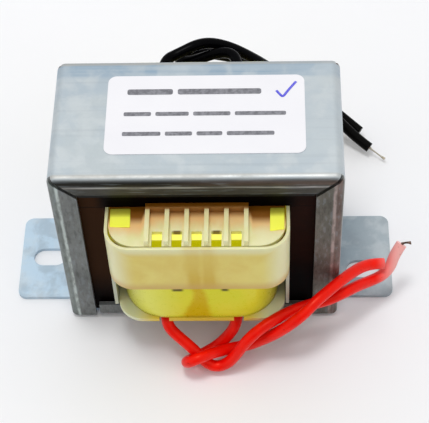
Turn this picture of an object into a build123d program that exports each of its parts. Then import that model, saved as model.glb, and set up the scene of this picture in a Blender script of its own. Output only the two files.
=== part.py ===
from build123d import *
import os
from math import pi, radians, sqrt, tan

# Frame: +X to the right, +Y to the rear, +Z up, origin under the middle of the base, in millimetres.

# Iron core: E and I sheets, stacked in packs that are turned over by turns
core_length = 57.0
core_limb = 9.5
core_tongue = 19.0
window_height = 28.5
stack_depth = 29.0
pack_count = 10

# Galvanised sheet of the folded frame and the base strap
sheet = 0.9
core_slack = 0.3
lip_slack = 0.5
lip_width = 5.6
mitre_gap = 0.8
foot_length = 12.7
foot_width = 22.0
foot_corner = 2.0
slot_width = 4.7
slot_length = 7.4
slot_margin = 2.8
left_slot_y = 0.0
right_slot_y = -3.8
relief_height = 2.6
tab_width = 1.8
tab_reach = 8.5
tab_cut = 0.4
lip_rise = 1.0
strap_gap = 5.6
strap_lip = 4.2

# Moulded bobbin with two winding sections and a comb of lead channels at each end
tongue_fit = 0.2
window_fit = 0.2
bobbin_wall = 1.0
flange_thickness = 1.0
flange_depth = 48.4
flange_corner = 5.5
lower_section = 11.9
channel_count = 5
channel_pitch = 4.0
rib_thickness = 0.9
rib_height = 1.7
rib_edge = 0.25
rib_setback = 1.5
comb_wall = 1.1
notch_width = 2.1
notch_depth = 3.6

# Two half shrouds that slip over the bobbin from the front and from the rear
shroud_wall = 0.7
shroud_fit = 0.15
corner_gap = 0.9
shroud_height = 14.5
shroud_split = 0.3
shroud_edge = 0.2

# Windings, set in from the sides and the ends of the flanges, and the tape round them
primary_side = 1.65
primary_end = 0.6
primary_corner = 8.6
secondary_side = 2.25
secondary_end = 2.6
secondary_corner = 6.5
tape = 0.3
tape_slack = 0.05
tape_turn = 3.0

# Tape ends on the upper flange, and the label on the frame
strip_thickness = 0.2
left_strip_width = 4.4
left_strip_setback = 4.5
right_strip_width = 3.1
right_strip_setback = 3.5
strip_edge = 0.1
label_length = 40.6
label_width = 20.7
label_corner = 1.8
label_thickness = 0.12
label_x = 1.8
label_y = 0.95

# Leads
red_diameter = 2.5
black_diameter = 2.4
strand_diameter = 0.8

# Worked out from the sizes above
core_height = window_height + 2 * core_limb
leg_height = window_height + core_limb
window_width = (core_length - core_tongue) / 2 - core_limb
pack_depth = stack_depth / pack_count
core_bottom = 2 * sheet
core_top = core_bottom + core_height
window_bottom = core_bottom + core_limb
window_top = window_bottom + window_height
core_face = stack_depth / 2

frame_width = core_length + 2 * (core_slack + sheet)
frame_depth = stack_depth + 2 * (lip_slack + sheet)
frame_height = core_top + core_slack + sheet
wall_x = frame_width / 2
# The square corner of the core just clears a fold with this inside radius
corner_room = core_slack / (1 - sqrt(0.5))
lip_fold = 0.5 * corner_room
top_fold = 0.98 * corner_room
foot_fold = sheet
foot_reach = wall_x + foot_length
slot_x = foot_reach - slot_margin - slot_length / 2
strap_length = frame_width - 2 * (sheet + strap_gap)

flange_width = 2 * (core_tongue / 2 + window_width - window_fit - shroud_wall - shroud_fit)
bobbin_bottom = window_bottom + window_fit
bobbin_top = window_top - window_fit
lower_flange_top = bobbin_bottom + flange_thickness
middle_flange = lower_flange_top + lower_section
middle_flange_top = middle_flange + flange_thickness
upper_flange = bobbin_top - flange_thickness
tube_x = core_tongue / 2 + tongue_fit + bobbin_wall
tube_y = core_face + tongue_fit + bobbin_wall
comb_back = core_face + tongue_fit
comb_length = flange_depth / 2 - comb_back
channel_x = [(i - (channel_count - 1) / 2) * channel_pitch for i in range(channel_count)]
rib_x = [(i - channel_count / 2) * channel_pitch for i in range(channel_count + 1)]
shroud_corner = flange_corner - corner_gap
shroud_width = flange_width + 2 * (shroud_fit + shroud_wall)
shroud_depth = flange_depth + 2 * (shroud_fit + shroud_wall)


def slab(width, depth, corner, bottom, top, mode=Mode.ADD):
    # A block with rounded upright corners, centred on the vertical axis
    with BuildSketch(Plane.XY.offset(bottom)) as outline:
        RectangleRounded(width, depth, corner)
    extrude(outline.sketch, amount=top - bottom, mode=mode)


def e_pack(bottom, front):
    # One pack of E sheets; its windows lie where the bobbin passes
    with BuildSketch(Plane.XZ.offset(-front)) as outline:
        with Locations((0, bottom + leg_height / 2)):
            Rectangle(core_length, leg_height)
        window_x = (core_tongue + window_width) / 2
        window_z = (window_bottom + window_top) / 2
        with Locations((-window_x, window_z), (window_x, window_z)):
            Rectangle(window_width, window_height, mode=Mode.SUBTRACT)
    extrude(outline.sketch, amount=-pack_depth)


def i_pack(bottom, front):
    # One pack of I sheets, which closes the open side of the E sheets
    with BuildSketch(Plane.XZ.offset(-front)) as outline:
        with Locations((0, bottom + core_limb / 2)):
            Rectangle(core_length, core_limb)
    extrude(outline.sketch, amount=-pack_depth)


# Core: every second pack is turned over, so that the joints overlap
pack_fronts = [-core_face + i * pack_depth for i in range(pack_count)]
upright_packs = pack_fronts[0::2]
turned_packs = pack_fronts[1::2]

with BuildPart() as e_packs_legs_up:
    for front in upright_packs:
        e_pack(core_bottom, front)

with BuildPart() as i_packs_top:
    for front in upright_packs:
        i_pack(window_top, front)

with BuildPart() as e_packs_legs_down:
    for front in turned_packs:
        e_pack(window_bottom, front)

with BuildPart() as i_packs_bottom:
    for front in turned_packs:
        i_pack(core_bottom, front)


def folded_body(inset, bottom):
    # The block inside the folded sheet, or outside it, with its folds rounded
    top = frame_height - inset
    with BuildSketch(Plane.XZ.offset(inset - frame_depth / 2)) as outline:
        with Locations((0, (top + bottom) / 2)):
            Rectangle(frame_width - 2 * inset, top - bottom)
        fillet(outline.vertices().group_by(Axis.Y)[-1], top_fold + sheet - inset)
    body = extrude(outline.sketch, amount=frame_depth - 2 * inset, mode=Mode.PRIVATE)
    ends = body.faces().filter_by(Axis.Y)
    rims = [e for e in ends.edges() if e.center().Z > bottom + sheet]
    return body.fillet(lip_fold + sheet - inset, rims)


def fold_profile(fold, start_x, end_x):
    # The side of a strip that comes down a wall and turns along the floor
    way = 1 if end_x > start_x else -1
    with BuildSketch(Plane.XZ) as outline:
        with BuildLine():
            upper = FilletPolyline(
                (start_x, relief_height), (start_x, sheet), (end_x, sheet), radius=fold
            )
            lower = FilletPolyline(
                (start_x - way * sheet, relief_height),
                (start_x - way * sheet, 0),
                (end_x, 0),
                radius=fold + sheet,
            )
            Line(upper @ 0, lower @ 0)
            Line(upper @ 1, lower @ 1)
        make_face()
    return outline.sketch


# Folded frame: top, two walls and their lips, two feet and four tabs under the base
wall_flat = frame_depth / 2 - lip_fold - sheet
tab_y = wall_flat - tab_cut - tab_width / 2
slots = ((-1, left_slot_y), (1, right_slot_y))

with BuildPart() as mounting_frame:
    add(folded_body(0, lip_rise))
    add(folded_body(sheet, -sheet), mode=Mode.SUBTRACT)
    with BuildSketch(Plane.XZ.offset(-frame_depth)) as opening:
        with Locations((0, (frame_height - lip_width) / 2)):
            Rectangle(frame_width - 2 * lip_width, frame_height - lip_width)
    extrude(opening.sketch, amount=2 * frame_depth, mode=Mode.SUBTRACT)
    # The lips were cut at 45 degrees before folding, which leaves a slit at each corner
    for side in (-1, 1):
        for y in (-frame_depth / 2, frame_depth / 2):
            corner = (side * (wall_x - lip_width / 2), y, frame_height - lip_width / 2)
            with Locations(Location(corner, (0, -45 * side, 0))):
                Box(3 * lip_width, 2 * (lip_fold + sheet), mitre_gap, mode=Mode.SUBTRACT)
    # Below the relief height the walls go on only as the feet and the tabs
    with Locations((0, 0, relief_height - frame_height / 2)):
        Box(frame_width, 2 * wall_flat, frame_height, mode=Mode.SUBTRACT)
    for side in (-1, 1):
        extrude(
            fold_profile(foot_fold, side * wall_x, side * foot_reach),
            amount=foot_width / 2,
            both=True,
        )
        inner_x = side * (wall_x - sheet)
        tab = fold_profile(foot_fold, inner_x, inner_x - side * tab_reach)
        with Locations((0, -tab_y, 0), (0, tab_y, 0)):
            add(extrude(tab, amount=tab_width / 2, both=True, mode=Mode.PRIVATE))
    across = mounting_frame.edges().filter_by(Axis.Z).group_by(Axis.X)
    fillet(across[0] + across[-1], foot_corner)
    with BuildSketch() as slot_outlines:
        for side, slot_y in slots:
            with Locations((side * slot_x, slot_y)):
                SlotOverall(slot_length, slot_width)
    extrude(slot_outlines.sketch, amount=sheet, mode=Mode.SUBTRACT)

# Strap under the core, held between the core and the tabs, with its edges turned up
with BuildPart() as base_strap:
    with BuildSketch(Plane.YZ) as outline:
        with Locations((0, sheet + strap_lip / 2)):
            Rectangle(frame_depth, strap_lip)
        fillet(outline.vertices().group_by(Axis.Y)[0], core_slack + sheet)
        with BuildSketch(mode=Mode.SUBTRACT) as trough:
            with Locations((0, core_bottom + strap_lip / 2)):
                Rectangle(frame_depth - 2 * sheet, strap_lip)
            fillet(trough.vertices().group_by(Axis.Y)[0], core_slack)
    extrude(outline.sketch, amount=strap_length / 2, both=True)


# Bobbin: a tube round the tongue, three flanges, and a comb of channels at each end
def comb(end, up, setback):
    # Ribs between the channels, rounded at their free edges, and a wall across their inner ends
    root = bobbin_top if up > 0 else bobbin_bottom
    middle = root + up * rib_height / 2
    with BuildSketch(Plane.XZ.offset(-end * comb_back)) as ribs:
        with Locations(*[(x, middle) for x in rib_x]):
            Rectangle(rib_thickness, rib_height)
        free = [v for v in ribs.vertices() if up * (v.Z - middle) > 0]
        fillet(free, rib_edge)
    extrude(ribs.sketch, amount=-end * (comb_length - setback))
    with Locations((0, end * (comb_back + comb_wall / 2), middle)):
        Box(rib_x[-1] - rib_x[0] + rib_thickness, comb_wall, rib_height)


with BuildPart() as bobbin:
    slab(2 * tube_x, 2 * tube_y, bobbin_wall, bobbin_bottom, bobbin_top)
    for bottom in (bobbin_bottom, middle_flange, upper_flange):
        slab(flange_width, flange_depth, flange_corner, bottom, bottom + flange_thickness)
    notch_y = (flange_depth - notch_depth) / 2
    # The ribs stop short of the flange's edge where leads turn over it
    comb(-1, -1, rib_setback)
    comb(-1, 1, 0)
    comb(1, -1, 0)
    comb(1, 1, rib_setback)
    # The lower flange has notches only where its leads come out
    lower_notches = (channel_x[0], channel_x[-1])
    for bottom, places in ((bobbin_bottom, lower_notches), (upper_flange, channel_x)):
        for end in (-1, 1):
            with Locations(*[(x, end * notch_y, bottom + flange_thickness / 2) for x in places]):
                Box(notch_width, notch_depth, flange_thickness, mode=Mode.SUBTRACT)
    with Locations((0, 0, (bobbin_bottom + bobbin_top) / 2)):
        Box(
            core_tongue + 2 * tongue_fit,
            stack_depth + 2 * tongue_fit,
            core_height,
            mode=Mode.SUBTRACT,
        )


# Shrouds: a wall round the upper section, with side walls over the full window
def half_shroud(end):
    slab(shroud_width, shroud_depth, shroud_corner + shroud_wall, bobbin_bottom, bobbin_top)
    slab(
        shroud_width - 2 * shroud_wall,
        shroud_depth - 2 * shroud_wall,
        shroud_corner,
        bobbin_bottom,
        bobbin_top,
        mode=Mode.SUBTRACT,
    )
    with Locations((0, -end * (shroud_depth / 2 - shroud_split / 2), bobbin_bottom)):
        Box(
            shroud_width,
            shroud_depth,
            bobbin_top,
            align=(Align.CENTER, Align.CENTER, Align.MIN),
            mode=Mode.SUBTRACT,
        )
    with Locations((0, end * shroud_depth / 2, bobbin_top - shroud_height)):
        Box(
            shroud_width,
            2 * (shroud_corner + shroud_wall),
            bobbin_top,
            align=(Align.CENTER, Align.CENTER, Align.MAX),
            mode=Mode.SUBTRACT,
        )
    rim_height = (bobbin_top, bobbin_top - shroud_height)
    rims = [e for e in edges() if any(abs(e.center().Z - z) < shroud_edge for z in rim_height)]
    fillet([e for e in rims if e.length > 2 * shroud_wall], shroud_edge)


with BuildPart() as front_shroud:
    half_shroud(-1)

with BuildPart() as rear_shroud:
    half_shroud(1)


# Windings, and the tape round each
def coil(width, depth, corner, bottom, top):
    slab(width, depth, corner, bottom, top)
    slab(2 * tube_x, 2 * tube_y, bobbin_wall, bottom, top, mode=Mode.SUBTRACT)


def wrap(width, depth, corner, bottom, top):
    inner = tape_slack
    outer = tape_slack + tape
    slab(width + 2 * outer, depth + 2 * outer, corner + outer, bottom, top)
    slab(
        width + 2 * inner, depth + 2 * inner, corner + inner, bottom, top, mode=Mode.SUBTRACT
    )


def inside_flange(side, end):
    return flange_width - 2 * side, flange_depth - 2 * end


primary = (*inside_flange(primary_side, primary_end), primary_corner)
secondary = (*inside_flange(secondary_side, secondary_end), secondary_corner)
secondary_top = upper_flange - tape - tape_slack

with BuildPart() as primary_winding:
    coil(*primary, lower_flange_top, middle_flange)

with BuildPart() as primary_tape:
    wrap(*primary, lower_flange_top, middle_flange)

with BuildPart() as secondary_winding:
    coil(*secondary, middle_flange_top, secondary_top)

# The tape of the upper winding is turned in over its top edge
with BuildPart() as secondary_tape:
    wrap(*secondary, middle_flange_top, upper_flange)
    outer_width = secondary[0] + 2 * (tape_slack + tape)
    outer_depth = secondary[1] + 2 * (tape_slack + tape)
    outer_corner = secondary_corner + tape_slack + tape
    slab(outer_width, outer_depth, outer_corner, upper_flange - tape, upper_flange)
    slab(
        outer_width - 2 * tape_turn,
        outer_depth - 2 * tape_turn,
        outer_corner - tape_turn,
        upper_flange - tape,
        upper_flange,
        mode=Mode.SUBTRACT,
    )


# Ends of tape that lie on the upper flange in front of the core
def tape_end(side, width, setback):
    outer_x = side * (flange_width / 2 - strip_edge)
    length = comb_length - setback
    with Locations((outer_x - side * width / 2, -comb_back - length / 2, bobbin_top)):
        Box(width, length, strip_thickness, align=(Align.CENTER, Align.CENTER, Align.MIN))


with BuildPart() as tape_strip_left:
    tape_end(-1, left_strip_width, left_strip_setback)

with BuildPart() as tape_strip_right:
    tape_end(1, right_strip_width, right_strip_setback)

# Label on the top of the frame
with BuildPart() as rating_label:
    with BuildSketch(Plane.XY.offset(frame_height)) as outline:
        with Locations((label_x, label_y)):
            RectangleRounded(label_length, label_width, label_corner)
    extrude(outline.sketch, amount=label_thickness)


# Leads: each lies in an outer channel of the comb, and its route was laid by hand
red_left_route = [
    (-7.8, -19.0, 10.2), (-7.8, -22.4, 10.1), (-7.1, -24.1, 8.4), (-5.0, -25.4, 6.8),
    (-2.6, -27.0, 5.5), (-0.7, -28.4, 4.2), (0.8, -29.5, 3.0), (2.4, -30.0, 2.1), (4.1, -29.9, 1.9),
    (5.7, -29.6, 2.9), (7.1, -29.1, 5.1), (8.6, -28.4, 7.7), (10.7, -27.4, 9.8),
    (13.4, -26.0, 11.5), (16.7, -24.1, 12.6), (20.3, -22.0, 12.7), (23.8, -20.5, 12.5),
    (27.1, -19.7, 12.3), (30.4, -18.5, 11.8), (33.7, -15.8, 10.4), (36.8, -13.1, 9.3),
    (39.6, -11.3, 9.0), (41.5, -9.6, 10.1), (42.9, -7.8, 12.2), (44.0, -6.3, 14.0),
]
red_right_route = [
    (7.8, -19.0, 10.2), (7.7, -22.2, 10.0), (6.9, -23.5, 7.4), (5.1, -24.2, 4.5), (2.9, -25.0, 2.3),
    (0.6, -26.0, 1.5), (-1.6, -27.2, 1.35), (-3.2, -28.6, 2.1), (-3.5, -30.1, 4.1),
    (-2.5, -31.0, 6.2), (-0.5, -30.5, 7.5), (1.9, -28.9, 7.1), (4.5, -27.35, 5.75), (7.0, -26.25, 4.0),
    (9.8, -25.8, 3.2), (12.9, -25.8, 4.4), (16.3, -25.8, 7.0), (19.6, -25.3, 9.9),
    (22.4, -24.1, 12.6), (24.9, -22.2, 14.6), (27.3, -20.1, 15.6), (29.8, -17.7, 15.7),
    (32.3, -14.8, 14.6), (34.8, -12.1, 13.2), (37.4, -10.6, 12.4), (39.8, -10.4, 12.2),
]
black_left_route = [
    (-8.0, 19.0, 40.85), (-8.0, 21.2, 40.85), (-7.9, 23.2, 40.9), (-7.1, 24.9, 40.95),
    (-5.4, 25.9, 40.9), (-3.3, 26.8, 40.9), (-1.0, 28.0, 41.1), (1.6, 29.0, 40.9),
    (4.5, 29.5, 39.9), (7.5, 29.6, 38.0), (10.5, 29.8, 35.0), (13.6, 30.7, 31.0),
    (17.2, 32.4, 25.8), (21.2, 34.4, 20.0), (25.4, 35.8, 14.2), (29.4, 35.8, 9.2),
    (32.9, 34.3, 5.8), (36.0, 32.3, 3.5), (39.0, 30.2, 2.4),
]
black_right_route = [
    (8.0, 19.0, 40.85), (8.0, 21.4, 40.85), (7.9, 23.7, 40.9), (7.2, 25.6, 41.0), (5.4, 26.6, 40.9),
    (3.0, 26.7, 40.3), (0.4, 26.6, 39.2), (-2.1, 26.6, 38.1), (-4.2, 27.1, 37.4),
    (-5.4, 28.9, 36.9), (-4.5, 30.8, 37.0), (-1.9, 31.6, 37.7), (1.2, 31.7, 38.3),
    (4.6, 31.8, 37.9), (8.0, 32.2, 36.0), (11.2, 33.2, 32.2), (14.4, 35.0, 26.8),
    (17.8, 37.1, 21.0), (21.6, 39.2, 15.2), (25.6, 40.4, 10.1), (29.6, 39.8, 6.3),
    (33.4, 37.8, 4.0), (36.9, 35.1, 2.6),
]
red_strand_route = [(44.0, -6.3, 14.0), (44.6, -5.6, 14.7), (45.9, -5.2, 15.0)]
black_strand_route = [(39.0, 30.2, 2.4), (40.6, 29.0, 1.8), (42.6, 27.7, 1.1)]


def lead(route, diameter):
    # A tube along straight runs and the widest arcs that the runs leave room for
    runs = [Vector(b) - Vector(a) for a, b in zip(route, route[1:])]
    radii = []
    for before, after in zip(runs, runs[1:]):
        half_turn = radians(before.get_angle(after)) / 2
        radii.append(0.45 * min(before.length, after.length) / tan(half_turn))
    with BuildLine() as path:
        FilletPolyline(*route, radius=radii)
    line = path.wire()
    with BuildSketch(Plane(line @ 0, z_dir=line % 0)) as section:
        Circle(diameter / 2)
    sweep(section.sketch, path=line)
    print("radii", [round(r, 1) for r in radii], "length", round(line.length, 1))
    return line.length * pi * diameter**2 / 4


leads = {}
for name, route, diameter in (
    ("red_lead_left", red_left_route, red_diameter),
    ("red_lead_right", red_right_route, red_diameter),
    ("black_lead_left", black_left_route, black_diameter),
    ("black_lead_right", black_right_route, black_diameter),
    ("red_strand", red_strand_route, strand_diameter),
    ("black_strand", black_strand_route, strand_diameter),
):
    with BuildPart() as cord:
        expected = lead(route, diameter)
    print(name, "volume", round(cord.part.volume, 2), "section times length", round(expected, 2))
    leads[name] = cord


pieces = {
    "mounting_frame": mounting_frame,
    "base_strap": base_strap,
    "e_packs_legs_up": e_packs_legs_up,
    "e_packs_legs_down": e_packs_legs_down,
    "i_packs_top": i_packs_top,
    "i_packs_bottom": i_packs_bottom,
    "bobbin": bobbin,
    "front_shroud": front_shroud,
    "rear_shroud": rear_shroud,
    "primary_winding": primary_winding,
    "primary_tape": primary_tape,
    "secondary_winding": secondary_winding,
    "secondary_tape": secondary_tape,
    "tape_strip_left": tape_strip_left,
    "tape_strip_right": tape_strip_right,
    "rating_label": rating_label,
    **leads,
}
os.makedirs("parts", exist_ok=True)
for name, piece in pieces.items():
    piece.part.label = name
    export_step(piece.part, f"parts/{name}.step")
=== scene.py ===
# Control panel transformer: the looks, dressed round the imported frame
import math

import bmesh
import bpy
from mathutils import Matrix, Vector, noise


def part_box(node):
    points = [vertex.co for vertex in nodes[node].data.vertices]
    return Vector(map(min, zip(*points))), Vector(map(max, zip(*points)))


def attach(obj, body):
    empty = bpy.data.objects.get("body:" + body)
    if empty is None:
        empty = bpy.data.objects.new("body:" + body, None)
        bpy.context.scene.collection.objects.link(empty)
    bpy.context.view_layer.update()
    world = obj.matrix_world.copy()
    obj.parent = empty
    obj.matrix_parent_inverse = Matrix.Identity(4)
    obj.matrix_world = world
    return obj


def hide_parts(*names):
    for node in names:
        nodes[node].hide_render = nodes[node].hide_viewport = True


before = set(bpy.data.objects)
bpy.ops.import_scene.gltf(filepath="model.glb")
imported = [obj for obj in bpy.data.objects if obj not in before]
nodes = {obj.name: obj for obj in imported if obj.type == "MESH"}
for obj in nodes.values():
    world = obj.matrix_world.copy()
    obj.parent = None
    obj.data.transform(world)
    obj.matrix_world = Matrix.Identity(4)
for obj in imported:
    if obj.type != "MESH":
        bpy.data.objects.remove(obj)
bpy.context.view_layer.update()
mm = 0.001  # routes and small sizes below are in millimetres, as on the drawing
print("frame loaded with", len(nodes), "nodes")


# Colours are written as they look on a screen, 0 to 255
def paint(red, green, blue):
    parts = []
    for value in (red, green, blue):
        share = value / 255
        parts.append(share / 12.92 if share <= 0.04045 else ((share + 0.055) / 1.055) ** 2.4)
    return (*parts, 1.0)


# Short ways to put shader nodes down and wire them
def feed(tree, node, inputs):
    for key, value in inputs.items():
        if isinstance(value, bpy.types.NodeSocket):
            tree.links.new(value, node.inputs[key])
        else:
            node.inputs[key].default_value = value


def put(tree, kind, inputs=None, **settings):
    node = tree.nodes.new("ShaderNode" + kind)
    for key, value in settings.items():
        setattr(node, key, value)
    feed(tree, node, inputs or {})
    return node


def sums(tree, operation, first, second=0.0):
    return put(tree, "Math", {0: first, 1: second}, operation=operation).outputs[0]


def plus(tree, first, second):
    return sums(tree, "ADD", first, second)


def minus(tree, first, second):
    return sums(tree, "SUBTRACT", first, second)


def times(tree, first, second):
    return sums(tree, "MULTIPLY", first, second)


def unsigned(tree, value):
    return sums(tree, "ABSOLUTE", value)


def swing(tree, share, first, second):
    # From the first value to the second
    return plus(tree, times(tree, share, minus(tree, second, first)), first)


def tint(tree, share, first, second):
    return put(tree, "Mix", {0: share, 6: first, 7: second}, data_type="RGBA", clamp_factor=True).outputs[2]


def ramp(tree, value, low, high, start=0.0, end=1.0):
    inputs = {"Value": value, "From Min": low, "From Max": high, "To Min": start, "To Max": end}
    return put(tree, "MapRange", inputs, interpolation_type="SMOOTHSTEP", clamp=True).outputs["Result"]


def fade(tree, value, span, start=0.0, end=1.0):
    # A ramp over a span in millimetres
    return ramp(tree, value, span[0] * mm, span[1] * mm, start, end)


def ripples(tree, place, scale, detail=3.0):
    return put(tree, "TexNoise", {"Vector": place, "Scale": scale, "Detail": detail}).outputs["Fac"]


def streaks(tree, place, stretch, detail=3.0):
    # Noise drawn out along the axes that have the smaller numbers
    drawn = put(tree, "Mapping", {"Vector": place, "Scale": stretch}).outputs[0]
    return ripples(tree, drawn, 1.0, detail)


def sway(tree, value, reach):
    # Noise as a shift to either side, in millimetres
    return ramp(tree, value, 0.3, 0.7, -reach * mm, reach * mm)


def bump(tree, shader, height, strength, depth):
    inputs = {"Height": height, "Strength": strength, "Distance": depth * mm}
    feed(tree, shader, {"Normal": put(tree, "Bump", inputs).outputs["Normal"]})


def newMaterial(name, constants):
    material = bpy.data.materials.new(name)
    material.use_nodes = True
    tree = material.node_tree
    tree.nodes.clear()
    shader = put(tree, "BsdfPrincipled", constants)
    put(tree, "OutputMaterial", {"Surface": shader.outputs["BSDF"]})
    return material, tree, shader


def objectPlace(tree):
    return put(tree, "TexCoord").outputs["Object"]


def axesOf(tree, place):
    return put(tree, "SeparateXYZ", {0: place}).outputs


# Effects that several finishes share
def newGroup(name, inputs, output):
    group = bpy.data.node_groups.new(name, "ShaderNodeTree")
    for label, kind in inputs.items():
        group.interface.new_socket(name=label, in_out="INPUT", socket_type="NodeSocket" + kind)
    group.interface.new_socket(name=output, in_out="OUTPUT", socket_type="NodeSocketFloat")
    return group, group.nodes.new("NodeGroupInput").outputs, group.nodes.new("NodeGroupOutput")


def makePatches():
    # Cloudy patches with soft edges: bloom, stains, scuffs
    inputs = {"Place": "Vector", "Scale": "Float", "Level": "Float", "Soft": "Float"}
    group, given, end = newGroup("softPatches", inputs, "Mask")
    clouds = put(group, "TexNoise", {"Vector": given["Place"], "Scale": given["Scale"],
                                     "Detail": 5.0, "Roughness": 0.55, "Distortion": 0.3}).outputs["Fac"]
    low = minus(group, given["Level"], given["Soft"])
    high = plus(group, given["Level"], given["Soft"])
    feed(group, end, {"Mask": ramp(group, clouds, low, high)})
    return group


def makeGrain():
    # Fine grain in two sizes, for roughness and bump
    group, given, end = newGroup("fineGrain", {"Place": "Vector", "Scale": "Float"}, "Grain")
    coarse = ripples(group, given["Place"], given["Scale"])
    fine = ripples(group, given["Place"], times(group, given["Scale"], 4.7), detail=2.0)
    feed(group, end, {"Grain": times(group, plus(group, coarse, fine), 0.5)})
    return group


def makeBand():
    # One inside a band of a coordinate, fading to nothing outside it
    inputs = {"Value": "Float", "Low": "Float", "High": "Float", "Soft": "Float"}
    group, given, end = newGroup("bandMask", inputs, "Mask")
    value, low, high, soft = (given[label] for label in inputs)
    rise = ramp(group, value, minus(group, low, soft), plus(group, low, soft))
    fall = ramp(group, value, minus(group, high, soft), plus(group, high, soft))
    feed(group, end, {"Mask": times(group, rise, minus(group, 1.0, fall))})
    return group


patches, grain, band = makePatches(), makeGrain(), makeBand()


# The shared effects in a finish, with their scales counted per metre
def use(tree, group, **inputs):
    return put(tree, "Group", inputs, node_tree=group).outputs[0]


def cloudy(tree, place, scale, level=0.5, soft=0.2):
    return use(tree, patches, Place=place, Scale=scale, Level=level, Soft=soft)


def grainy(tree, place, scale):
    return use(tree, grain, Place=place, Scale=scale)


def within(tree, value, span, soft):
    return use(tree, band, Value=value, Low=span[0] * mm, High=span[1] * mm, Soft=soft * mm)


def makeObject(name, bm):
    mesh = bpy.data.meshes.new(name)
    bm.to_mesh(mesh)
    bm.free()
    piece = bpy.data.objects.new(name, mesh)
    bpy.context.scene.collection.objects.link(piece)
    return piece


print("shared effects made")


# Camera, as the photograph was taken: lengths in millimetres, angles in degrees
photoView = {
    "place": (13.823, -193.486, 282.742),
    "yaw": -3.311,
    "pitch": 53.776,
    "roll": -3.100,
    "lens": 124.64,
    "sensor": 36.0,
    "near": 10.0,
}


def placeCamera(view):
    yaw, pitch, roll = (math.radians(view[key]) for key in ("yaw", "pitch", "roll"))
    forward = Vector((math.sin(yaw) * math.cos(pitch), math.cos(yaw) * math.cos(pitch), -math.sin(pitch)))
    right = Vector((math.cos(yaw), -math.sin(yaw), 0.0))
    above = right.cross(forward)
    across = right * math.cos(roll) + above * math.sin(roll)
    upward = above * math.cos(roll) - right * math.sin(roll)
    camera = bpy.data.objects.new("photoCamera", bpy.data.cameras.new("photoCamera"))
    camera.data.lens = view["lens"]
    camera.data.sensor_width = view["sensor"]
    camera.data.clip_start = view["near"] * mm
    turn = Matrix((across, upward, -forward)).transposed().to_4x4()
    turn.translation = Vector(view["place"]) * mm
    camera.matrix_world = turn
    bpy.context.scene.collection.objects.link(camera)
    bpy.context.scene.camera = camera


placeCamera(photoView)
bpy.context.scene.view_settings.view_transform = "Standard"
print("camera placed")


# Studio: a white table in soft light, darker towards the camera, with its sizes in metres
studio = {
    "tableSize": 4.0,
    "tableDrop": 0.00002,
    "table": paint(245, 245, 247),
    "tableCloud": paint(241, 241, 242),
    "sky": 0.82,
    "skyTint": (0.985, 0.992, 1.0, 1.0),
    "dark": 0.08,
    "darkWay": (0.0, -0.98, 0.20),
    "darkFrom": 0.80,
    "darkTo": 0.97,
    "softboxPlace": (-0.09, 0.0, 1.0),
    "softboxSize": 0.24,
    "softboxPower": 3.1,
}


def lightStudio(look):
    world = bpy.data.worlds.new("softStudio")
    world.use_nodes = True
    bpy.context.scene.world = world
    tree = world.node_tree
    tree.nodes.clear()
    way = put(tree, "TexCoord").outputs["Generated"]
    facing = put(tree, "VectorMath", {0: way, 1: look["darkWay"]}, operation="DOT_PRODUCT").outputs["Value"]
    level = ramp(tree, facing, look["darkFrom"], look["darkTo"], look["sky"], look["dark"])
    sky = put(tree, "Background", {"Color": look["skyTint"], "Strength": level})
    put(tree, "OutputWorld", {"Surface": sky.outputs["Background"]})

    lamp = bpy.data.lights.new("softbox", "AREA")
    lamp.energy = look["softboxPower"]
    lamp.size = look["softboxSize"]
    lampObject = bpy.data.objects.new("softbox", lamp)
    lampObject.location = look["softboxPlace"]
    lampObject.rotation_euler = (-Vector(look["softboxPlace"])).to_track_quat("-Z", "Y").to_euler()
    bpy.context.scene.collection.objects.link(lampObject)


def layTable(look):
    bm = bmesh.new()
    bmesh.ops.create_grid(bm, x_segments=4, y_segments=4, size=look["tableSize"] / 2)
    table = makeObject("table", bm)
    table.location.z = -look["tableDrop"]
    material, tree, shader = newMaterial("tableWhite", {"Roughness": 0.65})
    cloud = cloudy(tree, objectPlace(tree), 9.0, soft=0.3)
    feed(tree, shader, {"Base Color": tint(tree, cloud, look["table"], look["tableCloud"])})
    table.data.materials.append(material)


lightStudio(studio)
layTable(studio)
print("studio lit")


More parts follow.
